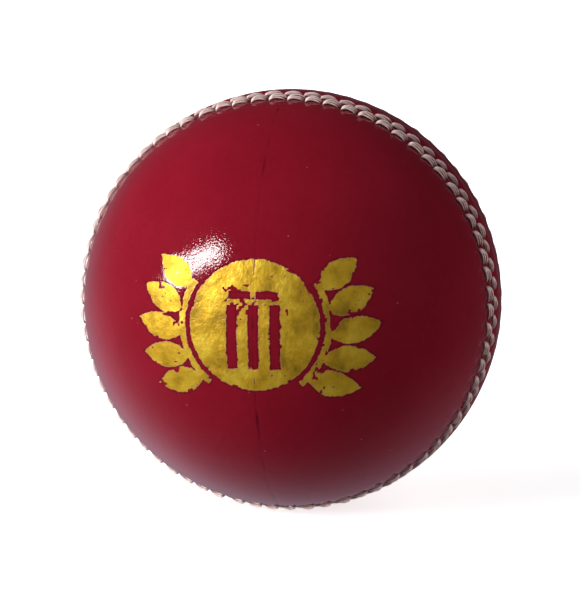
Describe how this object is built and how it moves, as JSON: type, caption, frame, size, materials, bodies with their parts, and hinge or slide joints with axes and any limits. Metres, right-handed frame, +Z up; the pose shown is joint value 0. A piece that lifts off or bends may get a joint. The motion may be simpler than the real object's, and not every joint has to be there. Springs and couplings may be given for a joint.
{
  "type": "cricket ball",
  "caption": "Hard hand-sewn ball with a crimson leather cover of quarters, raised white stitch rows round its seam, a gold foil stamp and a wound cork and yarn core.",
  "frame": {"origin": "centre of the ball", "axes": "+Y through the middle of the back cup, so the sewn seam lies in the XZ plane; the stamped front cup faces -Y; +Z up along the front quarter seam"},
  "size_m": [0.0724, 0.0722, 0.0724],
  "materials": {
    "crimson_leather": "polished, lacquered, fine grain",
    "seam_thread": "waxed three-ply linen thread, slightly tinted by the leather dye",
    "gold_foil": "bright hot-stamped foil, wrinkled, worn at its edges",
    "lining_leather": "undyed split leather, matt",
    "hidden_thread": "waxed linen thread, unbleached",
    "wool_yarn": "tightly wound worsted yarn",
    "cut_cork": "pressed sheet cork",
    "cork_rubber": "moulded cork and rubber granules"
  },
  "bodies": {
    "root": {"core_nucleus": "cork_rubber", "yarn_winding_inner": "wool_yarn", "cork_wrap_inner_front": "cut_cork", "cork_wrap_inner_back": "cut_cork", "yarn_winding_middle": "wool_yarn", "cork_wrap_outer_front": "cut_cork", "cork_wrap_outer_back": "cut_cork", "yarn_winding_outer": "wool_yarn", "cup_lining_front": "lining_leather", "cup_lining_back": "lining_leather", "quarter_seam_thread_front": "hidden_thread", "quarter_seam_thread_back": "hidden_thread", "leather_quarter_front_left": "crimson_leather", "leather_quarter_front_right": "crimson_leather", "leather_quarter_back_lower": "crimson_leather", "leather_quarter_back_upper": "crimson_leather", "seam_stitches_front_outer": "seam_thread", "seam_stitches_front_middle": "seam_thread", "closing_stitches_front": "hidden_thread", "closing_stitches_back": "hidden_thread", "seam_stitches_back_middle": "seam_thread", "seam_stitches_back_outer": "seam_thread", "foil_wicket_roundel": "gold_foil", "foil_leaf_spray_left": "gold_foil", "foil_leaf_spray_right": "gold_foil"}
  },
  "joints": []
}
